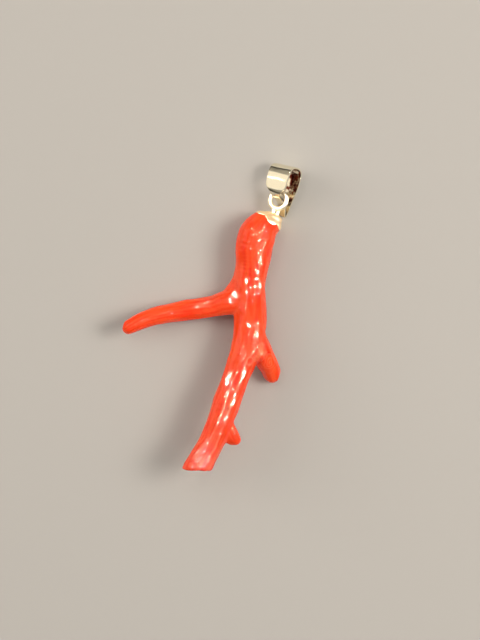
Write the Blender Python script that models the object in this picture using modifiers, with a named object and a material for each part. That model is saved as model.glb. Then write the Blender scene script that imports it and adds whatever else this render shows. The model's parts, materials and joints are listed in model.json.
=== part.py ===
# Red coral branch pendant, lying on a surface.
# Metres, +Z up. The pendant lies along Y with its bail at +Y, and z = 0 is the surface it lies on.
# The origin is the middle of its bounding box, at the bottom.

import math

import bmesh
import bpy
from mathutils import Matrix, Vector, noise

MM = 0.001
WELD = 0.002 * MM

# Limbs of the coral: x, y, z of the centre line and the radius there, in millimetres.
# Each limb starts inside the one that it grows from.
TRUNK = [
    (6.35, 20.55, 3.05, 1.10),
    (6.2, 20.05, 3.05, 2.05),
    (5.9, 19.3, 3.07, 2.68),
    (5.2, 18.1, 3.22, 3.12),
    (4.5, 16.0, 3.66, 3.70),
    (4.5, 13.6, 3.64, 3.58),
    (5.0, 10.6, 3.45, 3.25),
    (5.5, 7.4, 3.40, 2.98),
    (6.4, 4.0, 3.60, 3.02),
    (7.5, 0.3, 3.95, 3.08),
    (8.2, -3.4, 4.50, 3.00),
    (8.2, -7.3, 5.20, 2.76),
    (7.9, -11.3, 5.90, 2.54),
    (7.6, -15.2, 6.50, 2.67),
    (7.4, -19.1, 7.10, 2.48),
    (7.0, -23.1, 7.60, 2.34),
    (6.2, -26.4, 7.90, 2.50),
    (5.7, -29.2, 8.20, 2.74),
    (5.4, -31.4, 8.40, 2.74),
]
SIDE_BRANCH = [
    (5.4, 3.5, 3.40, 2.80),
    (2.2, 2.2, 2.90, 2.35),
    (0.0, 0.8, 2.35, 2.02),
    (-2.2, -0.2, 2.00, 1.97),
    (-5.6, -1.7, 2.40, 1.86),
    (-9.1, -3.4, 3.20, 1.70),
    (-11.0, -4.6, 3.80, 1.68),
    (-12.6, -5.9, 4.40, 1.62),
    (-13.9, -7.2, 5.00, 1.43),
]
SIDE_WEB = [
    (4.1, 8.8, 3.30, 2.02),
    (4.0, 6.4, 3.10, 2.02),
    (3.0, 4.1, 2.90, 1.80),
    (1.8, 2.2, 2.70, 1.60),
]
SHORT_BRANCH = [
    (8.4, -2.1, 4.20, 2.73),
    (10.5, -4.4, 3.60, 2.40),
    (12.3, -6.1, 2.85, 2.12),
    (13.6, -7.3, 2.25, 1.88),
    (14.3, -8.3, 1.80, 1.75),
]
FRONT_KNOB = [
    (9.1, -3.7, 5.00, 2.06),
    (10.3, -4.7, 5.70, 1.42),
    (11.1, -5.7, 6.05, 1.12),
]
BUD = [
    (8.5, -19.6, 7.00, 1.60),
    (9.8, -20.7, 6.90, 1.25),
    (11.0, -22.0, 6.60, 1.05),
]
TIP_ANGLES = (30, 55, 75, 86)

# Surface of the coral
LIMB_VOXEL = 0.28 * MM
SMOOTH_ROUNDS = 7
CORAL_TRIANGLES = 5800
RIDGES_AROUND = 11
RIDGE_HEIGHT = 0.11 * MM
RIDGE_WANDER = 1.5
RIDGE_WANDER_LENGTH = 6 * MM
RIDGE_FADE_LENGTH = 4 * MM
LUMP_HEIGHT = 0.14 * MM
LUMP_SIZE = 3.2 * MM
PIT_PLACE = Vector((9.5, -7.0, 8.0)) * MM
PIT_RADIUS = 0.75 * MM
PIT_DEPTH = 0.35 * MM

# Where the coral is sawn flat at its root end, and where it is parted at its forks
ROOT_CUT = Vector((5.7, -29.15, 8.2)) * MM
ROOT_CUT_NORMAL = Vector((0.24, -0.97, 0.0))
SIDE_PART = Vector((0.4, 1.5, 2.5)) * MM
SIDE_PART_NORMAL = Vector((-0.91, -0.42, 0.0))
SHORT_PART = Vector((12.6, -6.2, 2.7)) * MM
SHORT_PART_NORMAL = Vector((0.68, -0.68, -0.28))
PART_GAP = 0.3 * MM
CUTTER_LENGTH = 30 * MM
ROOT_CUTTER_WIDTH = 20 * MM
SIDE_CUTTER_WIDTH = 9 * MM
SHORT_CUTTER_WIDTH = 5.6 * MM

# Cup that is glued over the top of the coral, and its short stem
CAP_PLACE = Vector((6.45, 19.85, 3.10)) * MM
CAP_TILT = math.radians(13)
CAP_RIM_RADIUS = 2.25 * MM
CAP_HEIGHT = 1.15 * MM
CAP_WALL = 0.30 * MM
CAP_LOBES = 5
CAP_LOBE_DEPTH = 0.45 * MM
CAP_STEPS = 25
BELL_ANGLES = (78, 55, 34, 16, 0)
BELL_FULLNESS = 0.8
STEM_RADIUS = 0.55 * MM
STEM_TOP = 1.32 * MM
PEG_RADIUS = 1.35 * MM
PEG_TOP_RADIUS = 0.95 * MM
PEG_LENGTH = 2.4 * MM
TOUCH_GAP = 0.3 * MM

# Ring that is soldered to the stem, turned a little about the pendant's length
RING_PLACE = Vector((6.40, 23.55, 3.15)) * MM
RING_RADIUS = 1.64 * MM
RING_WIRE = 0.43 * MM
RING_TURN = math.radians(21)

# Bail: a strap bent to a loop, turned about the pendant's length.
# Distance along the pendant from the ring's centre, distance to the front, width of the strap, in mm.
BAIL_TURN = math.radians(37)
STRAP_THICKNESS = 0.38 * MM
STRAP = [
    (6.65, 0.00, 4.70),
    (6.45, 1.00, 4.80),
    (5.90, 1.75, 4.90),
    (4.80, 2.05, 4.90),
    (3.50, 2.08, 4.80),
    (2.24, 1.90, 4.10),
    (1.50, 1.75, 2.60),
    (0.95, 1.45, 1.50),
    (0.50, 0.90, 1.15),
    (0.15, 0.10, 1.05),
    (-0.20, -0.75, 1.05),
    (-0.75, -1.50, 1.10),
    (-1.55, -2.05, 1.15),
    (-2.32, -2.48, 1.15),
    (-2.62, -2.79, 1.15),
    (-2.38, -3.02, 1.25),
    (-1.55, -2.94, 1.75),
    (-0.40, -2.70, 2.40),
    (1.10, -2.33, 3.35),
    (3.20, -1.98, 4.45),
    (4.70, -1.85, 4.65),
    (5.90, -1.60, 4.70),
    (6.50, -0.90, 4.70),
]

CREASE_ANGLE = math.radians(40)
CORAL_RED = (0.90, 0.075, 0.020)
PALE_GOLD = (0.90, 0.76, 0.55)


def clear_scene():
    for thing in list(bpy.data.objects):
        bpy.data.objects.remove(thing, do_unlink=True)


def new_collection(name):
    group = bpy.data.collections.new(name)
    bpy.context.scene.collection.children.link(group)
    return group


def new_material(name, colour, roughness, metallic):
    material = bpy.data.materials.new(name)
    material.use_nodes = True
    shader = material.node_tree.nodes["Principled BSDF"]
    shader.inputs["Base Color"].default_value = (*colour, 1.0)
    shader.inputs["Roughness"].default_value = roughness
    shader.inputs["Metallic"].default_value = metallic
    return material


def coral_material(name):
    return new_material(name, CORAL_RED, 0.22, 0.0)


def metal_material(name):
    return new_material(name, PALE_GOLD, 0.16, 1.0)


def place(name, mesh, group, material=None):
    thing = bpy.data.objects.new(name, mesh)
    group.objects.link(thing)
    if material:
        mesh.materials.clear()
        mesh.materials.append(material)
    return thing


def evaluated_mesh(thing):
    bpy.context.view_layer.update()
    shown = thing.evaluated_get(bpy.context.evaluated_depsgraph_get())
    return bpy.data.meshes.new_from_object(shown)


def take_mesh(thing):
    """The thing's mesh in world space, modifiers applied and loose seams welded; the thing is removed."""
    mesh = evaluated_mesh(thing)
    mesh.transform(thing.matrix_world)
    bpy.data.objects.remove(thing, do_unlink=True)
    form = bmesh.new()
    form.from_mesh(mesh)
    bmesh.ops.remove_doubles(form, verts=form.verts, dist=WELD)
    form.to_mesh(mesh)
    form.free()
    return mesh


def with_round_tip(stations):
    """The stations with a half ball added past the last one."""
    points = [(Vector(station[:3]), station[3]) for station in stations]
    end, radius = points[-1]
    along = (end - points[-2][0]).normalized()
    for angle in TIP_ANGLES:
        turn = math.radians(angle)
        points.append((end + along * radius * math.sin(turn), radius * math.cos(turn)))
    return points


def smooth_curve(name, points, steps):
    """A curve through places, each with the factor by which the section grows there."""
    curve = bpy.data.curves.new(name, "CURVE")
    curve.resolution_u = steps
    spline = curve.splines.new("BEZIER")
    spline.bezier_points.add(len(points) - 1)
    for knot, (centre, factor) in zip(spline.bezier_points, points):
        knot.co = centre
        knot.radius = factor
        knot.handle_left_type = "AUTO"
        knot.handle_right_type = "AUTO"
    return curve


def limb_mesh(name, stations, group):
    """A tapering limb swept along its stations."""
    points = [(centre * MM, radius) for centre, radius in with_round_tip(stations)]
    curve = smooth_curve(name, points, 5)
    curve.dimensions = "3D"
    curve.bevel_depth = 1 * MM
    curve.bevel_resolution = 6
    curve.use_fill_caps = True
    thing = bpy.data.objects.new(name, curve)
    group.objects.link(thing)
    return take_mesh(thing)


def joined(meshes):
    form = bmesh.new()
    for mesh in meshes:
        form.from_mesh(mesh)
    whole = bpy.data.meshes.new("limbs")
    form.to_mesh(whole)
    form.free()
    return whole


def grown_together(meshes, group):
    """One skin over all the limbs, with soft fillets where they meet."""
    thing = place("limbs", joined(meshes), group)
    remesh = thing.modifiers.new("skin", "REMESH")
    remesh.mode = "VOXEL"
    remesh.voxel_size = LIMB_VOXEL
    smooth = thing.modifiers.new("fillets", "SMOOTH")
    smooth.factor = 0.5
    smooth.iterations = SMOOTH_ROUNDS
    return take_mesh(thing)


def nearest_on_trunk(point, centres):
    """The nearest place on the trunk's centre line, and the trunk's direction there."""
    best = None
    for start, end in zip(centres, centres[1:]):
        span = end - start
        part = max(0.0, min(1.0, (point - start).dot(span) / span.length_squared))
        foot = start + span * part
        gap = (point - foot).length
        if best is None or gap < best[0]:
            best = (gap, foot, span.normalized())
    return best[1], best[2]


def ridge_at(point, centres):
    """Lengthwise ridges that wander a little, as on a branch of red coral."""
    foot, along = nearest_on_trunk(point, centres)
    upward = Vector((0, 0, 1)) - along * along.z
    side = along.cross(upward)
    arm = point - foot
    angle = math.atan2(arm.dot(side), arm.dot(upward))
    wander = RIDGE_WANDER * noise.noise(foot / RIDGE_WANDER_LENGTH)
    strength = 0.6 + 0.4 * noise.noise(foot / RIDGE_FADE_LENGTH)
    return RIDGE_HEIGHT * strength * math.cos(RIDGES_AROUND * angle + wander)


def carve(mesh):
    """Ridges, low lumps and the one pit, moved along each point's normal."""
    centres = [Vector(station[:3]) * MM for station in TRUNK]
    form = bmesh.new()
    form.from_mesh(mesh)
    form.normal_update()
    moves = []
    for vert in form.verts:
        lump = LUMP_HEIGHT * noise.noise(vert.co / LUMP_SIZE)
        pit = PIT_DEPTH * math.exp(-((vert.co - PIT_PLACE).length / PIT_RADIUS) ** 2)
        moves.append(vert.normal * (ridge_at(vert.co, centres) + lump - pit))
    for vert, move in zip(form.verts, moves):
        vert.co += move
    form.to_mesh(mesh)
    form.free()


def thinned(mesh, group):
    """The same form in fewer, larger facets."""
    mesh.calc_loop_triangles()
    thing = place("thinned", mesh, group)
    decimate = thing.modifiers.new("facets", "DECIMATE")
    decimate.ratio = CORAL_TRIANGLES / len(mesh.loop_triangles)
    return take_mesh(thing)


def cutter_box(name, face, normal, width, group):
    """A box whose near face passes through a point, square to the normal."""
    mesh = bpy.data.meshes.new(name)
    form = bmesh.new()
    bmesh.ops.create_cube(form, size=1.0)
    bmesh.ops.scale(form, verts=form.verts, vec=(width, width, CUTTER_LENGTH))
    bmesh.ops.translate(form, verts=form.verts, vec=(0, 0, CUTTER_LENGTH / 2))
    turn = normal.normalized().to_track_quat("Z", "Y").to_matrix().to_4x4()
    bmesh.ops.transform(form, verts=form.verts, matrix=Matrix.Translation(face) @ turn)
    form.to_mesh(mesh)
    form.free()
    box = place(name, mesh, group)
    box.hide_render = True
    box.display_type = "WIRE"
    return box


def boolean(thing, cutter, operation):
    cut = thing.modifiers.new(cutter.name, "BOOLEAN")
    cut.solver = "EXACT"
    cut.operation = operation
    cut.object = cutter


def cap_frame():
    """Cap coordinates: Z runs from the rim up to the stem."""
    upright = Matrix.Rotation(-math.pi / 2, 4, "X")
    tilt = Matrix.Rotation(-CAP_TILT, 4, "Z")
    return Matrix.Translation(CAP_PLACE) @ tilt @ upright


def turned(name, profile, group):
    """A closed profile, given as radius and height, turned about Z."""
    mesh = bpy.data.meshes.new(name)
    form = bmesh.new()
    verts = [form.verts.new((radius, 0, height)) for radius, height in profile]
    for start, end in zip(verts, verts[1:]):
        form.edges.new((start, end))
    form.to_mesh(mesh)
    form.free()
    thing = place(name, mesh, group)
    screw = thing.modifiers.new("turn", "SCREW")
    screw.axis = "Z"
    screw.steps = CAP_STEPS
    screw.render_steps = CAP_STEPS
    screw.use_merge_vertices = True
    screw.merge_threshold = WELD
    return take_mesh(thing)


def bell_profile(grow):
    """Outer line of the bell from its stem to its rim, grown outwards by a gap."""
    wide = CAP_RIM_RADIUS + grow
    points = [(STEM_RADIUS + grow, STEM_TOP + grow)]
    for angle in BELL_ANGLES:
        turn = math.radians(angle)
        points.append((wide * math.cos(turn) ** BELL_FULLNESS, (CAP_HEIGHT + grow) * math.sin(turn)))
    return points


def make_cap(group, scratch):
    outer = bell_profile(0)
    inner = [(radius - CAP_WALL, height) for radius, height in reversed(outer[2:])]
    roof = CAP_HEIGHT - CAP_WALL
    profile = [(0, outer[0][1])] + outer + inner + [(0, roof)]
    mesh = turned("bell_cap", profile, scratch)
    for vert in mesh.vertices:
        depth = max(0.0, 1 - vert.co.z / CAP_HEIGHT) ** 2
        angle = math.atan2(vert.co.y, vert.co.x)
        vert.co.z -= CAP_LOBE_DEPTH * (1 + math.cos(CAP_LOBES * angle)) * depth
    mesh.transform(cap_frame())
    return place("bell_cap", mesh, group, metal_material("pale gold cap"))


def cap_clearance(group):
    """What the cap needs cut from the coral: a solid bell, a gap larger all over, with a skirt."""
    drop = 2 * CAP_LOBE_DEPTH + TOUCH_GAP
    bell = bell_profile(TOUCH_GAP)
    skirt = [(CAP_RIM_RADIUS + TOUCH_GAP, -drop)]
    profile = [(0, bell[0][1] + CAP_HEIGHT)] + bell + skirt + [(0, -drop)]
    mesh = turned("cap_clearance", profile, group)
    mesh.transform(cap_frame())
    return place("cap_clearance", mesh, group)


def cap_peg(group):
    """The end of the coral that sits inside the cap."""
    mesh = bpy.data.meshes.new("cap_peg")
    form = bmesh.new()
    bmesh.ops.create_cone(form, cap_ends=True, segments=20, radius1=PEG_RADIUS, radius2=PEG_TOP_RADIUS,
                          depth=PEG_LENGTH)
    top = CAP_HEIGHT - CAP_WALL - TOUCH_GAP
    bmesh.ops.translate(form, verts=form.verts, vec=(0, 0, top - PEG_LENGTH / 2))
    bmesh.ops.transform(form, verts=form.verts, matrix=cap_frame())
    form.to_mesh(mesh)
    form.free()
    return place("cap_peg", mesh, group)


def make_ring(group, scratch):
    turns = [quarter * math.pi / 2 for quarter in range(4)]
    points = [(Vector((math.cos(turn), math.sin(turn), 0)) * RING_RADIUS, 1) for turn in turns]
    curve = smooth_curve("ring_wire", points, 8)
    curve.splines[0].use_cyclic_u = True
    curve.dimensions = "3D"
    curve.bevel_depth = RING_WIRE
    curve.bevel_resolution = 3
    wire = bpy.data.objects.new("ring_wire", curve)
    scratch.objects.link(wire)
    wire.location = RING_PLACE
    wire.rotation_euler = (0, -RING_TURN, 0)
    return place("eye_ring", take_mesh(wire), group, metal_material("pale gold ring"))


def bail_frame():
    """Bail coordinates: X across the strap, Y along the pendant, Z to the strap's front."""
    return Matrix.Translation(RING_PLACE) @ Matrix.Rotation(-BAIL_TURN, 4, "Y")


def make_bail(group, scratch):
    points = [(Vector((along, front, 0)) * MM, width / 2) for along, front, width in STRAP]
    curve = smooth_curve("strap", points, 4)
    curve.splines[0].use_cyclic_u = True
    curve.dimensions = "2D"
    curve.fill_mode = "NONE"
    curve.extrude = 1 * MM
    thing = bpy.data.objects.new("strap", curve)
    scratch.objects.link(thing)
    mesh = take_mesh(thing)
    strap_to_bail = Matrix(((0, 0, 1, 0), (1, 0, 0, 0), (0, 1, 0, 0), (0, 0, 0, 1)))
    mesh.transform(bail_frame() @ strap_to_bail)
    bail = place("bail", mesh, group, metal_material("pale gold bail"))
    solid = bail.modifiers.new("strap", "SOLIDIFY")
    solid.thickness = STRAP_THICKNESS
    solid.offset = 0
    return bail


def make_coral(group, scratch):
    limbs = (TRUNK, SIDE_BRANCH, SIDE_WEB, SHORT_BRANCH, FRONT_KNOB, BUD)
    meshes = [limb_mesh("limb", stations, scratch) for stations in limbs]
    skin = grown_together(meshes, scratch)
    carve(skin)
    skin = thinned(skin, scratch)
    root = cutter_box("root_cutter", ROOT_CUT, ROOT_CUT_NORMAL, ROOT_CUTTER_WIDTH, scratch)
    side = cutter_box("side_cutter", SIDE_PART, SIDE_PART_NORMAL, SIDE_CUTTER_WIDTH, scratch)
    short = cutter_box("short_cutter", SHORT_PART, SHORT_PART_NORMAL, SHORT_CUTTER_WIDTH, scratch)
    side_keep = cutter_box("side_keep", SIDE_PART + SIDE_PART_NORMAL.normalized() * PART_GAP,
                           SIDE_PART_NORMAL, SIDE_CUTTER_WIDTH, scratch)
    short_keep = cutter_box("short_keep", SHORT_PART + SHORT_PART_NORMAL.normalized() * PART_GAP,
                            SHORT_PART_NORMAL, SHORT_CUTTER_WIDTH, scratch)
    trunk = place("trunk", skin.copy(), group, coral_material("coral trunk"))
    for cutter in (root, side, short, cap_clearance(scratch)):
        boolean(trunk, cutter, "DIFFERENCE")
    boolean(trunk, cap_peg(scratch), "UNION")
    side_branch = place("side_branch", skin.copy(), group, coral_material("coral side branch"))
    boolean(side_branch, side_keep, "INTERSECT")
    short_branch = place("short_branch", skin.copy(), group, coral_material("coral short branch"))
    boolean(short_branch, short_keep, "INTERSECT")
    return [trunk, side_branch, short_branch]


def parent_all(name, place_at, things, group):
    empty = bpy.data.objects.new(name, None)
    empty.location = place_at
    group.objects.link(empty)
    bpy.context.view_layer.update()
    for thing in things:
        thing.parent = empty
        thing.matrix_parent_inverse = empty.matrix_world.inverted()
    return empty


def middle_of_base(things):
    """The point under the middle of the things' bounding box."""
    points = [vert.co for thing in things for vert in evaluated_mesh(thing).vertices]
    low = Vector([min(point[axis] for point in points) for axis in range(3)])
    high = Vector([max(point[axis] for point in points) for axis in range(3)])
    return Vector(((low.x + high.x) / 2, (low.y + high.y) / 2, low.z))


def shade(things):
    for thing in things:
        thing.data.shade_smooth()
        thing.data.set_sharp_from_angle(angle=CREASE_ANGLE)


def main():
    clear_scene()
    group = new_collection("red coral branch pendant")
    scratch = new_collection("cutters")
    coral = make_coral(group, scratch)
    cap = make_cap(group, scratch)
    ring = make_ring(group, scratch)
    bail = make_bail(group, scratch)
    shade(coral + [cap, ring, bail])
    cutters = list(scratch.objects)
    fixed = parent_all("coral_and_cap", CAP_PLACE, coral + [cap, ring] + cutters, group)
    top_of_ring = RING_PLACE + Vector((0, RING_RADIUS, 0))
    hinge = parent_all("bail_hinge", top_of_ring, [bail], group)
    origin = middle_of_base(coral + [cap, ring, bail])
    fixed.location -= origin
    hinge.location -= origin
    for cutter in cutters:
        cutter.hide_render = True
        cutter.display_type = "WIRE"


main()
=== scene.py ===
# Looks of a red coral branch pendant that lies on a pale floor, seen from straight above.
import json
import math

import bpy
import numpy as np
from mathutils import Matrix, Vector, noise


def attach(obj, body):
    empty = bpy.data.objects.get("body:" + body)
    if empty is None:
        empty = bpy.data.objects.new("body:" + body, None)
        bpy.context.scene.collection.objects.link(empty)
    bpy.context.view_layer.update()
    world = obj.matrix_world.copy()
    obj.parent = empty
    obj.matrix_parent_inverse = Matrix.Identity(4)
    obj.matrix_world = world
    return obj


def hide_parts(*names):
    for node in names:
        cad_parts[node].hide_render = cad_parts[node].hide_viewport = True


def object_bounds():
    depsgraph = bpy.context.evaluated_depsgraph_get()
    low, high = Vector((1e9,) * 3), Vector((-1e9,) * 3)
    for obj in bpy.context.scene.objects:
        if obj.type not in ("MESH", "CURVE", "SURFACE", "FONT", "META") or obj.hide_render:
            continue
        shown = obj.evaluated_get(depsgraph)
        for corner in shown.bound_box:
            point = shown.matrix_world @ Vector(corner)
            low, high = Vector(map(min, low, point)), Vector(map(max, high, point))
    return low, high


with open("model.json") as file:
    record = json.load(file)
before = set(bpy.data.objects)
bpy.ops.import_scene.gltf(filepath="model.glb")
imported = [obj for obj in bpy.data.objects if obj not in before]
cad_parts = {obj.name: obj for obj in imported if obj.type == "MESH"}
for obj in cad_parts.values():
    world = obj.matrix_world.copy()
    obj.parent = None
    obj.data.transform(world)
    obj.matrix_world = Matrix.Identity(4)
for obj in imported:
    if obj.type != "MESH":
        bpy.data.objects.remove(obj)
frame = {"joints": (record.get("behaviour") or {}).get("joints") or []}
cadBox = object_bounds()
bpy.ops.object.select_all(action="DESELECT")
bpy.context.scene.view_settings.view_transform = "Standard"  # keeps the coral's orange red

mm = 0.001
# The stations below are in the source's own coordinates.
# The joint says how far these lie from the frame's.
hingeInSource = Vector((6.40, 25.19, 3.15)) * mm
shift = Vector(frame["joints"][0]["pos_m"]) - hingeInSource


def toFrame(place):
    return Vector(place) * mm + shift


# sRGB hex to linear
def hexColour(text):
    parts = [int(text[i:i + 2], 16) / 255 for i in (1, 3, 5)]
    linear = [p / 12.92 if p <= 0.04045 else ((p + 0.055) / 1.055) ** 2.4 for p in parts]
    return tuple(linear) + (1.0,)


# one node, with its settings, its values by input and its links by input
def addNode(tree, kind, settings=None, values=None, links=None):
    node = tree.nodes.new(kind)
    for name, setting in (settings or {}).items():
        setattr(node, name, setting)
    for name, number in (values or {}).items():
        node.inputs[name].default_value = number
    for name, (source, output) in (links or {}).items():
        tree.links.new(source.outputs[output], node.inputs[name])
    return node


def newMaterial(name, values):
    material = bpy.data.materials.new(name)
    material.use_nodes = True
    shader = material.node_tree.nodes["Principled BSDF"]
    for socket, number in values.items():
        shader.inputs[socket].default_value = number
    return material, material.node_tree, shader


def setRamp(ramp, stops):
    elements = ramp.color_ramp.elements
    while len(elements) < len(stops):
        elements.new(0.5)
    for element, (place, colour) in zip(elements, stops):
        element.position = place
        element.color = hexColour(colour)


def setActive(piece):
    bpy.ops.object.select_all(action="DESELECT")
    piece.select_set(True)
    bpy.context.view_layer.objects.active = piece


def applyModifier(piece, kind, settings):
    setActive(piece)
    modifier = piece.modifiers.new(kind.lower(), kind)
    for name, setting in settings.items():
        setattr(modifier, name, setting)
    bpy.ops.object.modifier_apply(modifier=modifier.name)


def joinPieces(pieces, name):
    setActive(pieces[0])
    for piece in pieces:
        piece.select_set(True)
    bpy.ops.object.join()
    bpy.context.object.name = name
    return bpy.context.object


def weld(piece, distance=0.002 * mm):
    setActive(piece)
    bpy.ops.object.mode_set(mode="EDIT")
    bpy.ops.mesh.select_all(action="SELECT")
    bpy.ops.mesh.remove_doubles(threshold=distance)
    bpy.ops.mesh.normals_make_consistent(inside=False)
    bpy.ops.object.mode_set(mode="OBJECT")


def getPoints(piece):
    flat = np.zeros(len(piece.data.vertices) * 3)
    piece.data.vertices.foreach_get("co", flat)
    return flat.reshape(-1, 3)


def setPoints(piece, points):
    piece.data.vertices.foreach_set("co", points.astype(np.float32).ravel())
    piece.data.update()


def getNormals(piece):
    flat = np.zeros(len(piece.data.vertices) * 3, np.float32)
    piece.data.vertex_normals.foreach_get("vector", flat)
    return flat.reshape(-1, 3).astype(float)


def setAttribute(piece, name, values):
    attribute = piece.data.attributes.new(name, "FLOAT", "POINT")
    attribute.data.foreach_set("value", values.astype(np.float32))


def noiseAt(points):
    return np.array([noise.noise(point) for point in points.tolist()])


def finishPiece(piece, name, material, body, slot, *nodes):
    piece.name = piece.data.name = name
    piece.data.materials.clear()
    piece.data.materials.append(material)
    setActive(piece)
    bpy.ops.object.transform_apply(location=True, rotation=True, scale=True)
    bpy.ops.object.shade_smooth()
    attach(piece, body)
    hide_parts(*nodes)
    print(name, len(piece.data.polygons), "faces")


# Polished red coral: calcite with a waxy lustre, coloured right through.
# Growth lines show as paler streaks.
def polishedCoral():
    material, tree, shader = newMaterial("polished red coral", {
        "Metallic": 0.0, "IOR": 1.5,
        "Subsurface Weight": 0.5, "Subsurface Radius": (1.0, 0.22, 0.10),
        "Subsurface Scale": 1.0 * mm})
    place = addNode(tree, "ShaderNodeTexCoord")
    streak = addNode(tree, "ShaderNodeAttribute", {"attribute_name": "streak"})
    paintedShade = addNode(tree, "ShaderNodeAttribute", {"attribute_name": "paintedShade"})
    cloud = addNode(tree, "ShaderNodeTexNoise", values={"Scale": 1 / (7 * mm), "Detail": 3.0},
                    links={"Vector": (place, "Object")})
    mixed = addNode(tree, "ShaderNodeMath", {"operation": "MULTIPLY_ADD"}, {1: 0.8},
                    {0: (cloud, "Fac"), 2: (streak, "Fac")})
    ramp = addNode(tree, "ShaderNodeValToRGB", links={"Fac": (mixed, 0)})
    setRamp(ramp, [(0.3, "#F83B0C"), (0.6, "#FB4413"), (0.9, "#FC4C1A"), (1.0, "#FE5422")])
    # painted shade: a darker red inside the pit and along the furrows
    shadeMix = addNode(tree, "ShaderNodeMix", {"data_type": "RGBA", "blend_type": "MIX"},
                   {"B": hexColour("#EE2F08")}, {"Factor": (paintedShade, "Fac"), "A": (ramp, "Color")})
    # twigs that were cut off and ground flush show paler layers; this pale mask also carries a painted
    # highlight on the pit's rim and a painted sheen on the knob
    paleAndSheen = addNode(tree, "ShaderNodeAttribute", {"attribute_name": "paleAndSheen"})
    paleAndSheenMix = addNode(tree, "ShaderNodeMix", {"data_type": "RGBA", "blend_type": "MIX"},
                   {"B": hexColour("#FF8456")}, {"Factor": (paleAndSheen, "Fac"), "A": (shadeMix, "Result")})
    tree.links.new(paleAndSheenMix.outputs["Result"], shader.inputs["Base Color"])
    # the polish is a little duller in places
    haze = addNode(tree, "ShaderNodeTexNoise", values={"Scale": 1 / (1.4 * mm), "Detail": 4.0},
                   links={"Vector": (place, "Object")})
    rough = addNode(tree, "ShaderNodeMapRange",
                    values={"From Min": 0.3, "From Max": 0.7, "To Min": 0.02, "To Max": 0.05},
                    links={"Value": (haze, "Fac")})
    tree.links.new(rough.outputs["Result"], shader.inputs["Roughness"])
    # fine pores of the skeleton, drawn about 0.4 mm across where the real ones are near 0.1 mm
    pores = addNode(tree, "ShaderNodeTexVoronoi", {"feature": "F1"}, {"Scale": 1 / (0.9 * mm)},
                    {"Vector": (place, "Object")})
    pit = addNode(tree, "ShaderNodeMapRange",
                  values={"From Min": 0.05, "From Max": 0.22, "To Min": 0.0, "To Max": 1.0},
                  links={"Value": (pores, "Distance")})
    poreBump = addNode(tree, "ShaderNodeBump", values={"Strength": 0.15, "Distance": 0.012 * mm},
                       links={"Height": (pit, "Result")})
    # hand polish leaves shallow waves, which break up the glints
    wave = addNode(tree, "ShaderNodeTexNoise", values={"Scale": 1 / (0.9 * mm), "Detail": 0.0},
                   links={"Vector": (place, "Object")})
    waveBump = addNode(tree, "ShaderNodeBump", values={"Strength": 1.0, "Distance": 0.055 * mm},
                       links={"Height": (wave, "Fac"), "Normal": (poreBump, "Normal")})
    tree.links.new(waveBump.outputs["Normal"], shader.inputs["Normal"])
    return material


# Pale gold plate on polished brass, with hairline marks from wear
def paleGoldPlate(name, colour, roughLow, roughHigh):
    material, tree, shader = newMaterial(name, {"Metallic": 1.0})
    place = addNode(tree, "ShaderNodeTexCoord")
    # painted shade and a dark painted reflection on the inside of the bail's loop, in patches; only the
    # bail carries this mask
    loopShade = addNode(tree, "ShaderNodeAttribute", {"attribute_name": "loopShade"})
    patch = addNode(tree, "ShaderNodeTexNoise", values={"Scale": 1 / (0.9 * mm), "Detail": 3.0},
                    links={"Vector": (place, "Object")})
    edge = addNode(tree, "ShaderNodeMapRange",
                   values={"From Min": 0.40, "From Max": 0.56, "To Min": 0.1, "To Max": 1.0},
                   links={"Value": (patch, "Fac")})
    share = addNode(tree, "ShaderNodeMath", {"operation": "MULTIPLY"},
                    links={0: (edge, "Result"), 1: (loopShade, "Fac")})
    tint = addNode(tree, "ShaderNodeMix", {"data_type": "RGBA", "blend_type": "MIX"},
                   {"A": hexColour(colour), "B": hexColour("#6E2E1C")}, {"Factor": (share, 0)})
    tree.links.new(tint.outputs["Result"], shader.inputs["Base Color"])
    haze = addNode(tree, "ShaderNodeTexNoise", values={"Scale": 1 / (1.1 * mm), "Detail": 5.0},
                   links={"Vector": (place, "Object")})
    rough = addNode(tree, "ShaderNodeMapRange",
                    values={"From Min": 0.3, "From Max": 0.7, "To Min": roughLow, "To Max": roughHigh},
                    links={"Value": (haze, "Fac")})
    tree.links.new(rough.outputs["Result"], shader.inputs["Roughness"])
    stretch = addNode(tree, "ShaderNodeMapping",
                      values={"Rotation": (0.3, 0.2, 0.5), "Scale": (1.0, 14.0, 14.0)},
                      links={"Vector": (place, "Object")})
    hairlines = addNode(tree, "ShaderNodeTexNoise", values={"Scale": 1 / (1.2 * mm), "Detail": 3.0},
                        links={"Vector": (stretch, "Vector")})
    bump = addNode(tree, "ShaderNodeBump", values={"Strength": 0.12, "Distance": 0.012 * mm},
                   links={"Height": (hairlines, "Fac")})
    tree.links.new(bump.outputs["Normal"], shader.inputs["Normal"])
    return material


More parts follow.
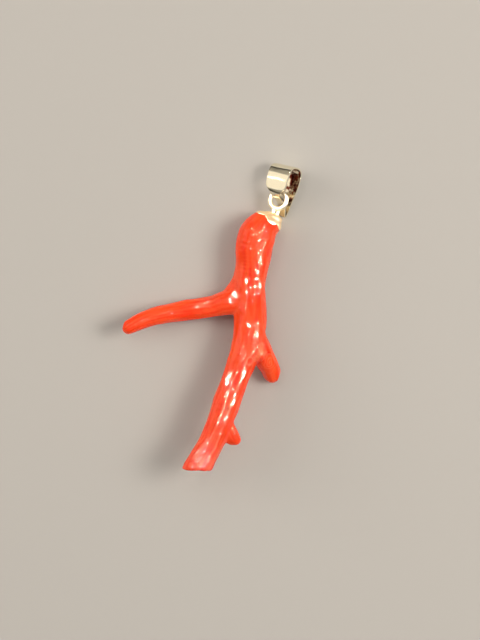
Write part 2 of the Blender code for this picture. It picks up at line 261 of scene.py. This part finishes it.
# The limbs of the coral as in the source: x, y, z of the centre line and the radius, in mm
limbs = {
    "trunk": [
        (6.35, 20.55, 3.05, 1.10), (6.2, 20.05, 3.05, 2.05), (5.9, 19.3, 3.07, 2.68),
        (5.2, 18.1, 3.22, 3.12), (4.5, 16.0, 3.66, 3.70), (4.5, 13.6, 3.64, 3.58),
        (5.0, 10.6, 3.45, 3.25), (5.5, 7.4, 3.40, 2.98), (6.4, 4.0, 3.60, 3.02),
        (7.5, 0.3, 3.95, 3.08), (8.2, -3.4, 4.50, 3.00), (8.2, -7.3, 5.20, 2.76),
        (7.9, -11.3, 5.90, 2.54), (7.6, -15.2, 6.50, 2.67), (7.4, -19.1, 7.10, 2.48),
        (7.0, -23.1, 7.60, 2.34), (6.2, -26.4, 7.90, 2.50), (5.7, -29.2, 8.20, 2.74),
        (5.4, -31.4, 8.40, 2.74)],
    "side": [
        (5.4, 3.5, 3.40, 2.80), (2.2, 2.2, 2.90, 2.35), (0.0, 0.8, 2.35, 2.02),
        (-2.2, -0.2, 2.00, 1.97), (-5.6, -1.7, 2.40, 1.86), (-9.1, -3.4, 3.20, 1.70),
        (-11.0, -4.6, 3.80, 1.68), (-12.6, -5.9, 4.40, 1.62), (-13.9, -7.2, 5.00, 1.43)],
    "web": [
        (4.1, 8.8, 3.30, 2.02), (4.0, 6.4, 3.10, 2.02), (3.0, 4.1, 2.90, 1.80),
        (1.8, 2.2, 2.70, 1.60)],
    "short": [
        (8.4, -2.1, 4.20, 2.73), (10.5, -4.4, 3.60, 2.40), (12.3, -6.1, 2.85, 2.12),
        (13.6, -7.3, 2.25, 1.88), (14.3, -8.3, 1.80, 1.75)],
    "knob": [(9.1, -3.7, 5.00, 2.06), (10.3, -4.7, 5.70, 1.42), (11.1, -5.7, 6.05, 1.12)],
    "bud": [(8.5, -19.6, 7.00, 1.60), (9.8, -20.7, 6.90, 1.25), (11.0, -22.0, 6.60, 1.05)],
    "budRoot": [(8.3, -20.4, 7.00, 1.60), (9.6, -21.6, 6.85, 1.25), (10.5, -22.2, 6.65, 0.95)],
}

coral = {
    "voxel": 0.138, "filletRounds": 29,
    "tipAngles": (30, 55, 75, 86),
    "rootCut": (5.7, -29.30, 8.2), "rootNormal": (0.24, -0.97, 0.0),
    "rootRound": 1.3, "rootRounds": 71,     # mm from the cut that is worn round, and smoothing rounds
    "blend": (0.45, 0.4),    # mm over which growth lines of two limbs mix, and mm deep at most
    "endDome": (0.72, 0.06, 0.12),   # height of the end inside the cap, how fast it falls off, softness
    # growth lines in three layers: how many around a limb, mm along it, height in mm
    "growth": [(1.3, 8.0, 0.15), (3.0, 4.5, 0.075), (6.5, 2.6, 0.025)],
    "seedSteps": (17.3, 5.1, 40),    # between limbs, between growth layers and to the streaks
    "lumps": [(2.8, 0.13), (1.3, 0.034)],    # mm across, height in mm
    "streakScale": (5.0, 5.0),       # lines around a limb, mm along it
    "pitPlace": (9.55, -7.10), "pitSize": (0.36, 0.52, 0.20),    # radius across and along, depth
    "pitRim": (1.5, 0.45, 0.45),     # place and width in pit radii, share of the depth
    "pitHighlightAndShade": (0.45, 0.7),          # painted highlight on the rim, painted shade inside
    "ringPlace": (13.2, -6.3), "ringStretch": (0.8, 1.2), "ringBend": (0.35, 0.9),
    "ringStep": 0.60, "ringHeight": 0.02, "ringReach": 1.5, "ringTint": (0.5, 0.2),
    "knobMiddle": (11.1, -4.95), "knobCorners": [(10.9, -3.6), (10.5, -6.3), (11.9, -4.95)],
    # the knob's pale tint is a painted sheen
    "knobWidth": 0.55, "knobSheen": 0.6,
    "edgeRoom": 0.3,      # mm over which the tips flatten towards the box of the solids
}

# Low ridges that the polish left on the upper side: start x, y, end x, y and half width, in mm
ridges = [
    (6.11, 14.37, 5.97, 13.36, 0.26), (5.97, 13.11, 6.53, 10.76, 0.22),
    (5.58, 11.37, 6.23, 10.11, 0.28), (5.06, 10.46, 5.53, 9.49, 0.28),
    (4.49, 9.60, 4.76, 8.92, 0.32), (7.49, 7.43, 7.76, 5.96, 0.26),
    (7.79, 5.01, 8.55, 2.99, 0.30), (6.40, 2.80, 6.85, 0.56, 0.34),
    (5.49, 1.98, 5.90, 1.55, 0.28), (7.10, -3.04, 7.22, -4.26, 0.28),
    (7.69, -5.15, 7.64, -6.19, 0.30), (8.29, -6.78, 8.26, -8.16, 0.30),
    (9.52, -4.77, 9.65, -5.49, 0.28), (1.62, 2.42, 2.54, 3.09, 0.30),
    (2.94, 4.28, 3.34, 4.65, 0.28), (-1.70, 0.12, -0.82, 0.65, 0.26),
    (-2.71, -1.10, -2.09, -0.81, 0.26), (-6.29, -1.74, -3.65, -0.75, 0.24),
    (8.10, -11.66, 8.04, -13.31, 0.28), (8.03, -13.55, 7.85, -15.63, 0.32),
    (7.49, -20.61, 7.33, -21.75, 0.28), (6.87, -22.02, 6.41, -24.75, 0.30),
    (7.75, -22.17, 7.65, -23.32, 0.28), (7.79, -23.82, 7.19, -25.07, 0.28)]
# places of small round knuckles: x, y, in mm
knuckles = [
    (3.31, 17.99), (3.36, 16.70), (3.72, 15.52), (5.09, 17.93), (5.13, 17.05), (4.97, 18.99),
    (5.73, 15.57), (2.55, 14.19), (3.24, 14.24), (2.38, 13.37), (3.29, 13.29), (4.15, 13.22),
    (4.20, 18.63), (9.98, -3.25), (3.57, 2.41), (-7.60, -2.45), (-8.90, -2.80), (-10.10, -4.40),
    (-13.26, -6.73), (-14.20, -7.20), (8.71, -11.63), (8.25, -16.56), (8.25, -19.64),
    (6.81, -27.56), (4.98, -27.89), (5.61, -28.36), (4.27, -28.77)]
relief = {
    "knuckleWidth": 0.38, "widen": 1.3, "strength": 1.0, "most": 0.10, "least": 0.035,
    "facing": 0.25,      # how far a spot has to face up
    "near": 0.3,         # mm around a line in which the slope is read
    "ridgeSlope": 0.858,     # steepest slope of a rounded ridge one high and one wide
    # how dark the painted shade along the furrows is
    "furrowShadeTint": 0.8,
}
# shallow furrows, darkened with painted shade: start x, y, end x, y, half width and depth, in mm
furrows = [(4.90, 9.40, 5.98, 6.32, 0.30, 0.06), (11.6, -3.2, 12.6, -4.6, 0.32, 0.12),
           (12.6, -4.6, 11.1, -7.1, 0.34, 0.16)]


def sweptLimb(stations):
    points = [(Vector(s[:3]), s[3]) for s in stations]
    end, radius = points[-1]
    along = (end - points[-2][0]).normalized()
    for angle in coral["tipAngles"]:  # a half ball past the last station
        turn = math.radians(angle)
        points.append((end + along * radius * math.sin(turn), radius * math.cos(turn)))
    bpy.ops.curve.primitive_bezier_curve_add()
    limb = bpy.context.object
    knots = limb.data.splines[0].bezier_points
    knots.add(len(points) - len(knots))
    for knot, (centre, size) in zip(knots, points):
        knot.co = centre * mm + shift
        knot.radius = size
        knot.handle_left_type = knot.handle_right_type = "AUTO"
    limb.data.resolution_u = 8
    limb.data.bevel_depth = mm
    limb.data.bevel_resolution = 10
    limb.data.use_fill_caps = True
    bpy.ops.object.convert(target="MESH")
    return bpy.context.object


# the limb's centre line in small steps, in mm: x, y, z, radius
def fineLine(stations):
    known = np.array([stations[0]] + list(stations) + [stations[-1]], float)
    rows = []
    for a, b, c, d in zip(known, known[1:], known[2:], known[3:]):
        for t in np.arange(0, 1, 0.25):
            rows.append(0.5 * (2 * b + (c - a) * t + (2 * a - 5 * b + 4 * c - d) * t ** 2
                               + (3 * b - a - 3 * c + d) * t ** 3))
    rows.append(known[-1])
    return np.array(rows)


# for each point: gap to the limb's surface, distance along it, angle around it and reach, which fades
# over the 1 mm next to its centre line
def limbPlace(points, line):
    best = np.full(len(points), 1e9)
    along, foot, way = np.zeros(len(points)), np.zeros((len(points), 3)), np.zeros((len(points), 3))
    passed = 0.0
    for a, b in zip(line, line[1:]):
        span = b[:3] - a[:3]
        length = np.linalg.norm(span)
        part = np.clip((points - a[:3]) @ span / length ** 2, 0, 1)
        here = a[:3] + part[:, None] * span
        gap = np.linalg.norm(points - here, axis=1) - (a[3] + part * (b[3] - a[3]))
        near = gap < best
        best[near], along[near] = gap[near], passed + part[near] * length
        foot[near], way[near] = here[near], span / length
        passed += length
    up = np.array((0, 0, 1)) - way * way[:, 2:3]
    side = np.cross(way, up)
    arm = points - foot
    around = np.arctan2((arm * side).sum(1), (arm * up).sum(1))
    reach = np.linalg.norm(arm - way * (arm * way).sum(1)[:, None], axis=1)
    return best, along, around, np.clip(reach, 0, 1)


# lines that run along a limb, as noise on a tube that is squeezed along its length
def growthLines(along, around, lines, length, seed):
    spots = np.stack([lines * np.cos(around), lines * np.sin(around), along / length + seed], axis=1)
    return noiseAt(spots)


def growLines(points):
    height, streak, total = (np.zeros(len(points)) for _ in range(3))
    blend, deepest = coral["blend"]
    limbStep, layerStep, streakStep = coral["seedSteps"]
    for number, stations in enumerate(limbs.values()):
        gap, along, around, reach = limbPlace(points, fineLine(stations))
        weight = np.exp(-np.maximum(gap, -deepest) / blend)
        weight *= np.clip(2 - gap / (3 * blend), 0, 1) ** 2  # runs out softly
        use = weight > 0
        along, around, reach, weight = along[use], around[use], reach[use], weight[use]
        seed = limbStep * number
        rise = np.zeros(len(along))
        for layer, (lines, length, tall) in enumerate(coral["growth"]):
            rise += tall * growthLines(along, around, lines, length, seed + layerStep * layer)
        lines, length = coral["streakScale"]
        fine = growthLines(along, around, lines, length, seed + streakStep)
        height[use] += weight * rise * reach
        streak[use] += weight * fine
        total[use] += weight
    total = np.maximum(total, 1e-9)
    return height / total, streak / total


def capMatrix():
    tilt = Matrix.Rotation(-math.radians(cap["tilt"]), 4, "Z") @ Matrix.Rotation(-math.pi / 2, 4, "X")
    return Matrix.Translation(cap["place"]) @ tilt


# the coral's end stays low enough to sit inside the cap
def trimEnd(points):
    turn = np.array(capMatrix().inverted())
    local = points @ turn[:3, :3].T + turn[:3, 3]
    top, fall, soft = coral["endDome"]
    limit = top - fall * (local[:, 0] ** 2 + local[:, 1] ** 2)
    over = local[:, 2] - limit
    eased = np.where(over > soft, over, (over + soft) ** 2 / (4 * soft))
    local[:, 2] -= np.where(over > -soft, eased, 0)
    back = np.array(capMatrix())
    return local @ back[:3, :3].T + back[:3, 3]


# distance from each point to a line on the upper side, seen from above
def lineGap(flat, start, end):
    span = end - start
    part = np.clip((flat - start) @ span / max(span @ span, 1e-6), 0, 1)
    return np.linalg.norm(flat - start - part[:, None] * span, axis=1)


# each ridge or knuckle stands just downhill of its line, so that the line itself comes out level
def reliefHeight(points, normals):
    height, furrowShade = np.zeros(len(points)), np.zeros(len(points))
    upper = np.flatnonzero(normals[:, 2] > relief["facing"])
    flat = points[upper, :2]
    slope = normals[upper, :2] / normals[upper, 2:3]
    marks = ridges + [place + place + (relief["knuckleWidth"],) for place in knuckles]
    for x0, y0, x1, y1, width in marks:
        start, end = np.array((x0, y0)), np.array((x1, y1))
        width = width * relief["widen"] if (x0, y0) != (x1, y1) else width
        close = lineGap(flat, start, end) < relief["near"]
        if not close.any():
            continue
        fall = slope[close].mean(0)
        along = (end - start) / max(np.linalg.norm(end - start), 1e-6)
        fall = fall - along * (fall @ along)
        steep = np.linalg.norm(fall)
        aside = fall / max(steep, 1e-6) * width / math.sqrt(2)
        tall = relief["strength"] * steep * width / relief["ridgeSlope"]
        tall = np.clip(tall, relief["least"], relief["most"])
        gap = lineGap(flat, start + aside, end + aside)
        height[upper] += tall * np.exp(-(gap / width) ** 2)
    for x0, y0, x1, y1, width, deep in furrows:
        gap = lineGap(flat, np.array((x0, y0)), np.array((x1, y1)))
        height[upper] -= deep * np.exp(-(gap / width) ** 2)
        # painted shade along each furrow
        furrowShade[upper] += relief["furrowShadeTint"] * np.exp(-(gap / width) ** 2)
    return height, furrowShade


def carveCoral(piece):
    points = (getPoints(piece) - np.array(shift)) / mm
    normals = getNormals(piece)
    height, streak = growLines(points)
    for size, tall in coral["lumps"]:
        height += tall * noiseAt(points / size)
    upper = np.clip(normals[:, 2] * 2, 0, 1)  # 1 where it faces up, 0 on the underside
    x, y = points[:, 0], points[:, 1]
    # the small oval pit with a raised rim, left of the knob, with a painted highlight on the rim and
    # painted shade inside
    across, length, deep = coral["pitSize"]
    far = np.hypot((x - coral["pitPlace"][0]) / across, (y - coral["pitPlace"][1]) / length)
    rimPlace, rimWidth, rimShare = coral["pitRim"]
    rimHighlight, pitShade = coral["pitHighlightAndShade"]
    rim = np.exp(-((far - rimPlace) / rimWidth) ** 2)
    height += upper * deep * (rimShare * rim - np.exp(-far ** 2))
    paleAndSheen = rimHighlight * rim
    paintedShade = upper * pitShade * np.exp(-far ** 2)
    # faint rings where the short branch was ground
    across, length = coral["ringStretch"]
    far = np.hypot((x - coral["ringPlace"][0]) / across, (y - coral["ringPlace"][1]) / length)
    bend, bendSize = coral["ringBend"]
    far += bend * noiseAt(points / bendSize)
    fade = np.exp(-(far / coral["ringReach"]) ** 2)
    rings = np.cos(2 * math.pi * far / coral["ringStep"]) * fade
    height += upper * coral["ringHeight"] * rings
    tint, between = coral["ringTint"]
    paleAndSheen += tint * np.clip(rings + between * fade, 0, 1)
    # a painted sheen on the knob that faces up, over a blunt triangle
    middle = np.array(coral["knobMiddle"])
    gaps = [lineGap(points[:, :2], middle, np.array(corner)) for corner in coral["knobCorners"]]
    paleAndSheen += coral["knobSheen"] * np.exp(-(np.min(gaps, axis=0) / coral["knobWidth"]) ** 4)
    rise, furrowShade = reliefHeight(points, normals)
    height += rise
    # painted shade of the furrows joins that of the pit
    paintedShade += furrowShade
    points = points + normals * height[:, None]
    points = trimEnd(points)
    # the tips stay inside the box of the solids
    room = coral["edgeRoom"]
    for axis in (0, 1):
        for sign, limit in ((-1, cadBox[0][axis]), (1, cadBox[1][axis])):
            edge = sign * (limit - shift[axis]) / mm - room
            over = np.maximum(sign * points[:, axis] - edge, 0)
            points[:, axis] -= sign * (over - room * (1 - np.exp(-over / room)))
    points = points * mm + np.array(shift)
    points[:, 2] = np.maximum(points[:, 2], 0.0)
    setPoints(piece, points)
    setAttribute(piece, "streak", streak + 0.5)
    setAttribute(piece, "paintedShade", np.clip(paintedShade, 0, 1))
    setAttribute(piece, "paleAndSheen", np.clip(paleAndSheen * upper, 0, 1))


def makeCoral(material):
    piece = joinPieces([sweptLimb(stations) for stations in limbs.values()], "coralBranch")
    weld(piece)
    bpy.ops.object.mode_set(mode="EDIT")
    bpy.ops.mesh.select_all(action="SELECT")
    bpy.ops.mesh.bisect(plane_co=toFrame(coral["rootCut"]), plane_no=coral["rootNormal"],
                        use_fill=True, clear_outer=True)
    bpy.ops.object.mode_set(mode="OBJECT")
    applyModifier(piece, "REMESH", {"mode": "VOXEL", "voxel_size": coral["voxel"] * mm})
    applyModifier(piece, "SMOOTH", {"factor": 0.5, "iterations": coral["filletRounds"]})
    # the edge of the sawn end is worn round
    points = (getPoints(piece) - np.array(toFrame(coral["rootCut"]))) / mm
    depth = -points @ np.array(coral["rootNormal"])
    group = piece.vertex_groups.new(name="rootEdge")
    for index in np.flatnonzero(depth < coral["rootRound"]):
        group.add([int(index)], 1 - max(depth[index], 0) / coral["rootRound"], "REPLACE")
    applyModifier(piece, "SMOOTH", {"factor": 0.5, "iterations": coral["rootRounds"],
                                    "vertex_group": "rootEdge"})
    carveCoral(piece)
    applyModifier(piece, "SMOOTH", {"factor": 0.3, "iterations": 1})
    finishPiece(piece, "coralBranch", material, "coral", "coral",
                "trunk", "side_branch", "short_branch")
    return piece


# Cap of pressed sheet: a low crown with five petals that are pushed down onto the coral
cap = {
    "place": (6.45, 19.85, 3.10), "tilt": 13,
    # stations of the crown and of a petal: mm from the axis, and height
    "crown": [(0.0, 1.16), (0.35, 1.15), (0.60, 1.10), (0.85, 1.02), (1.15, 0.96), (1.45, 0.90)],
    "petal": [(1.45, 0.90), (1.75, 0.78), (2.02, 0.56), (2.22, 0.20), (2.36, -0.25), (2.44, -0.75),
              (2.48, -1.30)],
    "petals": 5, "steps": 160, "petalRows": 16, "notch": 0.72, "roundness": 0.6, "facing": -1.65,
    "vein": (0.25, 0.05),    # width and height of the fold between two petals
    "grip": 2.2,             # how soon a petal lies on the coral
    "sheet": 0.15, "lift": 0.15,
    "plate": ("#FFE6C0", 0.34, 0.44),    # colour, least and most roughness
}


def petalPath(share):
    rows = cap["petal"]
    place = min(share, 0.9999) * (len(rows) - 1)
    first = int(place)
    low, high = rows[first], rows[first + 1]
    return [low[i] + (high[i] - low[i]) * (place - first) for i in (0, 1)]


def makeCap(material, coralPiece):
    rows = cap["crown"][1:-1]
    steps = cap["steps"]
    bpy.ops.mesh.primitive_circle_add(vertices=steps, radius=1, fill_type="TRIFAN")
    piece = bpy.context.object
    bpy.ops.object.mode_set(mode="EDIT")
    bpy.ops.mesh.select_all(action="DESELECT")
    bpy.ops.mesh.select_non_manifold()
    for _ in range(len(rows) + cap["petalRows"]):
        bpy.ops.mesh.extrude_region_move()
    bpy.ops.object.mode_set(mode="OBJECT")
    points = getPoints(piece)
    group = piece.vertex_groups.new(name="petals")
    # the circle and each extruded ring hold the same number of points, and the centre is one more
    centre = int(np.argmin(np.hypot(points[:, 0], points[:, 1])))
    ringPoints = [i for i in range(len(points)) if i != centre]
    for place, index in enumerate(ringPoints):
        ring = place // steps
        angle = math.atan2(points[index][1], points[index][0])
        if ring < len(rows):
            radius, height = rows[ring]
        else:
            share = (ring - len(rows)) / cap["petalRows"]
            petalTurn = cap["petals"] * (angle - cap["facing"]) / 2
            lobe = abs(math.cos(petalTurn)) ** cap["roundness"]
            reach = share * (cap["notch"] + (1 - cap["notch"]) * lobe)
            radius, height = petalPath(reach)
            veinWidth, veinHeight = cap["vein"]
            vein = math.exp(-(math.sin(petalTurn) / veinWidth) ** 2)
            radius += vein * (veinHeight * math.sin(math.pi * share))
            group.add([index], min(1.0, reach * cap["grip"]), "REPLACE")
        points[index] = (radius * math.cos(angle), radius * math.sin(angle), height)
    points[centre] = (0, 0, cap["crown"][0][1])
    setPoints(piece, points)
    piece.data.transform(Matrix.Translation(shift) @ Matrix.Scale(mm, 4) @ capMatrix())
    weld(piece)
    applyModifier(piece, "SHRINKWRAP", {"target": coralPiece, "wrap_method": "NEAREST_SURFACEPOINT",
                  "wrap_mode": "ABOVE_SURFACE", "offset": cap["lift"] * mm, "vertex_group": "petals"})
    applyModifier(piece, "SMOOTH", {"factor": 0.4, "iterations": 2})
    applyModifier(piece, "SOLIDIFY", {"thickness": cap["sheet"] * mm, "offset": -1})
    applyModifier(piece, "SUBSURF", {"levels": 1, "render_levels": 1})
    finishPiece(piece, "petalCap", material, "coral", "pale_gold", "bell_cap")


# Eye of round wire, with two short legs that are soldered into the crown of the cap
eye = {
    "place": (6.40, 23.55, 3.15), "turn": 21, "radius": 1.64, "wire": 0.43, "voxel": 0.045,
    "legs": [[(5.85, 22.10, 3.00), (6.02, 21.55, 3.02), (6.10, 21.10, 3.06), (6.20, 20.55, 3.10)],
             [(6.98, 22.10, 3.32), (7.02, 21.55, 3.22), (6.98, 21.05, 3.14), (6.90, 20.50, 3.10)]],
    "legRadius": 0.34,
    "solder": [(6.62, 20.75, 3.10, 0.62), (6.50, 20.62, 3.10, 0.66)], "solderShape": (1.1, 0.45, 0.9),
    "plate": ("#F4ECD6", 0.34, 0.42),
}


def makeEye(material):
    bpy.ops.mesh.primitive_torus_add(major_radius=eye["radius"] * mm, minor_radius=eye["wire"] * mm,
                                     major_segments=120, minor_segments=36,
                                     location=toFrame(eye["place"]),
                                     rotation=(0, -math.radians(eye["turn"]), 0))
    parts = [bpy.context.object]
    for leg in eye["legs"]:
        bpy.ops.curve.primitive_bezier_curve_add()
        line = bpy.context.object
        knots = line.data.splines[0].bezier_points
        knots.add(len(leg) - len(knots))
        for knot, place in zip(knots, leg):
            knot.co = toFrame(place)
            knot.handle_left_type = knot.handle_right_type = "AUTO"
        line.data.bevel_depth = eye["legRadius"] * mm
        line.data.bevel_resolution = 6
        line.data.use_fill_caps = True
        bpy.ops.object.convert(target="MESH")
        parts.append(bpy.context.object)
    for x, y, z, radius in eye["solder"]:
        bpy.ops.mesh.primitive_uv_sphere_add(segments=32, ring_count=20, radius=radius * mm,
                                             location=toFrame((x, y, z)))
        bpy.context.object.scale = eye["solderShape"]
        parts.append(bpy.context.object)
    piece = joinPieces(parts, "eyeRing")
    bpy.ops.object.transform_apply(location=True, rotation=True, scale=True)
    weld(piece)
    applyModifier(piece, "REMESH", {"mode": "VOXEL", "voxel_size": eye["voxel"] * mm})
    applyModifier(piece, "SMOOTH", {"factor": 0.5, "iterations": 8})
    finishPiece(piece, "eyeRing", material, "coral", "pale_gold", "eye_ring")


# Bail: a strap bent to a loop. Each station is mm along the pendant from the eye's middle,
# mm to the front, and width.
bail = {
    "turn": 37, "thickness": 0.30, "edge": 0.09, "crown": 0.02, "across": 9, "steps": 12,
    "core": (3.6, 0.1),      # middle of the loop, along and to the front
    "wave": (1.9, 0.02, 0.04),     # mm across and height of the slight dents, in front and behind
    "loopShade": (3, 0.5),      # how sharply the painted shade inside the loop starts
    "plate": ("#F4EDD4", 0.06, 0.13),
    "strap": [
        (6.62, 0.00, 4.70), (6.45, 1.00, 4.80), (5.90, 1.75, 4.90), (4.80, 2.05, 4.90),
        (3.50, 2.08, 4.80), (2.24, 1.90, 4.50), (1.50, 1.75, 3.20), (0.95, 1.45, 2.05),
        (0.50, 0.90, 1.60), (0.15, 0.10, 1.50), (-0.20, -0.75, 1.55), (-0.75, -1.50, 1.60),
        (-1.55, -2.05, 1.55), (-2.32, -2.48, 1.35), (-2.62, -2.79, 1.15), (-2.38, -3.02, 1.25),
        (-1.55, -2.94, 1.75), (-0.40, -2.70, 2.40), (1.10, -2.33, 3.35), (3.20, -1.98, 4.45),
        (4.70, -1.85, 4.65), (5.90, -1.60, 4.70), (6.50, -0.90, 4.70)],
}


# smooth closed line through the strap's stations
def strapLine():
    known = np.array(bail["strap"], float)
    count = len(known)
    rows = []
    for i in range(count):
        a, b, c, d = (known[(i + k) % count] for k in (-1, 0, 1, 2))
        for t in np.linspace(0, 1, bail["steps"], endpoint=False):
            rows.append(0.5 * (2 * b + (c - a) * t + (2 * a - 5 * b + 4 * c - d) * t ** 2
                               + (3 * b - a - 3 * c + d) * t ** 3))
    return np.array(rows)


def makeBail(material):
    line = strapLine()
    ahead = np.roll(line, -1, axis=0) - np.roll(line, 1, axis=0)
    outward = np.stack([-ahead[:, 1], ahead[:, 0]], axis=1)
    outward /= np.linalg.norm(outward, axis=1)[:, None]
    middle = line[:, :2].mean(0)
    if ((line[:, :2] - middle) * outward).sum() < 0:
        outward = -outward
    count, across = len(line), bail["across"]
    bpy.ops.mesh.primitive_grid_add(x_subdivisions=across - 1, y_subdivisions=count, size=1)
    piece = bpy.context.object
    points = getPoints(piece)
    column = np.rint((points[:, 0] + 0.5) * (across - 1)).astype(int)
    row = np.rint((points[:, 1] + 0.5) * count).astype(int) % count
    side = column / (across - 1) * 2 - 1
    rise = bail["crown"] * (1 - side ** 2)
    spots = np.stack([side * line[row, 2] / 2, line[row, 0], line[row, 1]], axis=1)
    wide, tallFront, tallBack = bail["wave"]
    rise = rise + np.where(spots[:, 2] > 0, tallFront, tallBack) * noiseAt(spots / wide)
    along = line[row, 0] + outward[row, 0] * rise
    front = line[row, 1] + outward[row, 1] * rise
    setPoints(piece, np.stack([side * line[row, 2] / 2, along, front], axis=1) * mm)
    turn = Matrix.Rotation(-math.radians(bail["turn"]), 4, "Y")
    place = Matrix.Translation(toFrame(eye["place"])) @ turn
    piece.data.transform(place)
    weld(piece)
    applyModifier(piece, "SOLIDIFY", {"thickness": bail["thickness"] * mm, "offset": 0})
    applyModifier(piece, "BEVEL", {"width": bail["edge"] * mm, "segments": 2, "limit_method": "ANGLE",
                  "angle_limit": math.radians(50)})
    applyModifier(piece, "SUBSURF", {"levels": 1, "render_levels": 1})
    # how far a point faces the inside of the loop, which sets the painted shade there
    along, front = bail["core"]
    centre = np.array(place @ Vector((0, along * mm, front * mm)))
    inward = centre - getPoints(piece)
    wayAcross = np.array(turn @ Vector((1, 0, 0)))
    inward -= wayAcross * (inward @ wayAcross)[:, None]
    inward /= np.maximum(np.linalg.norm(inward, axis=1), 1e-9)[:, None]
    gain, start = bail["loopShade"]
    setAttribute(piece, "loopShade", np.clip((inward * getNormals(piece)).sum(1) * gain - start, 0, 1))
    finishPiece(piece, "strapBail", material, "bail", "pale_gold", "bail")


# Plain pale floor, in metres and just below the pendant
card = {"size": 3, "height": -0.02 * mm, "colour": "#ACACAC", "roughness": 0.85}


def makeFloor():
    bpy.ops.mesh.primitive_plane_add(size=card["size"], location=(0, 0, card["height"]))
    floor = bpy.context.object
    floor.name = "floor"
    material = newMaterial("matt pale card", {
        "Base Color": hexColour(card["colour"]), "Roughness": card["roughness"]})[0]
    floor.data.materials.append(material)


# Lamps of the studio: degrees from straight up, compass degrees in the picture from its top,
# size in degrees, radiance. The distance is in metres.
studio = {
    "distance": 0.7,
    # small ceiling lamps, which show in the gloss only
    "lamps": [
        (22, 92, 2.8, 900), (52, 102, 2.8, 900), (36, 114, 2.5, 900), (22, 295, 2.8, 900),
        (46, 308, 2.8, 900), (38, 345, 2.5, 800), (30, 45, 2.5, 600), (16, 350, 2.5, 500),
        (56, 60, 2.5, 500), (60, 330, 2.8, 700), (64, 88, 2.8, 900), (44, 80, 2.5, 800),
        (30, 322, 2.5, 700)],
    # panels, which light and also show in the gloss; each stands a step nearer than the one before
    "panels": [(74, 288, 32, 0.72), (74, 289, 2.5, 3), (50, 50, 18, 1.0)],
    "panelStep": 0.01,
    # large and soft, and kept out of the reflections
    "keys": [(44, 84, 24, 13.0), (25, 330, 30, 1.2), (64, 285, 30, 5.0)],
    "warmWhite": "#FFF3E4",
    "room": [(0.0, "#2E2C2A"), (0.09, "#2E2C2A"), (0.20, "#A8A39A"), (0.45, "#A8A39A"),
             (0.95, "#B0ABA2")],
    "worldStrength": 0.9,
}
# The camera looks straight down: turn in degrees, height and middle in mm
view = {"turn": 16, "height": 400, "middle": (5.398, -0.447), "lens": 118.4}


def addLight(name, tilt, compass, size, radiance, shape, closer=0.0):
    tiltAngle = math.radians(tilt)
    heading = math.radians(90 - compass + view["turn"])
    outward = Vector((math.sin(tiltAngle) * math.cos(heading), math.sin(tiltAngle) * math.sin(heading),
                      math.cos(tiltAngle)))
    light = bpy.data.lights.new(name, "AREA")
    light.shape = shape
    light.size = 2 * studio["distance"] * math.tan(math.radians(size / 2))
    area = light.size ** 2 * (math.pi / 4 if shape == "DISK" else 1)
    light.energy = radiance * area * math.pi
    light.color = hexColour(studio["warmWhite"])[:3]
    lamp = bpy.data.objects.new(name, light)
    bpy.context.scene.collection.objects.link(lamp)
    middle = Vector((view["middle"][0] * mm, view["middle"][1] * mm, 0))
    lamp.location = middle + outward * (studio["distance"] - closer)
    lamp.rotation_euler = outward.to_track_quat("Z", "Y").to_euler()
    lamp.visible_camera = False
    return lamp


def makeStudio():
    for number, (tilt, compass, size, radiance) in enumerate(studio["lamps"]):
        lamp = addLight("ceilingLamp" + str(number), tilt, compass, size, radiance, "DISK")
        lamp.visible_diffuse = False
    for number, (tilt, compass, size, radiance) in enumerate(studio["panels"]):
        addLight("softPanel" + str(number), tilt, compass, size, radiance, "SQUARE",
                 studio["panelStep"] * number)
    for number, key in enumerate(studio["keys"]):
        addLight("softKey" + str(number), *key, "SQUARE").visible_glossy = False
    world = bpy.data.worlds.new("studioRoom")
    bpy.context.scene.world = world
    world.use_nodes = True
    tree = world.node_tree
    background = tree.nodes["Background"]
    background.inputs["Strength"].default_value = studio["worldStrength"]
    way = addNode(tree, "ShaderNodeTexCoord")
    split = addNode(tree, "ShaderNodeSeparateXYZ", links={"Vector": (way, "Generated")})
    ramp = addNode(tree, "ShaderNodeValToRGB", links={"Fac": (split, "Z")})
    setRamp(ramp, studio["room"])
    tree.links.new(ramp.outputs["Color"], background.inputs["Color"])


def makeCamera():
    data = bpy.data.cameras.new("overhead")
    data.lens = view["lens"]
    data.sensor_width = 36
    camera = bpy.data.objects.new("overhead", data)
    bpy.context.scene.collection.objects.link(camera)
    camera.location = (view["middle"][0] * mm, view["middle"][1] * mm, view["height"] * mm)
    camera.rotation_euler = (0, 0, math.radians(view["turn"]))
    bpy.context.scene.camera = camera


makeCamera()
makeStudio()
makeFloor()
print("studio ready")
coralPiece = makeCoral(polishedCoral())
makeCap(paleGoldPlate("pale gold plate on the cap", *cap["plate"]), coralPiece)
makeEye(paleGoldPlate("pale gold plate on the eye", *eye["plate"]))
makeBail(paleGoldPlate("pale gold plate on the bail", *bail["plate"]))
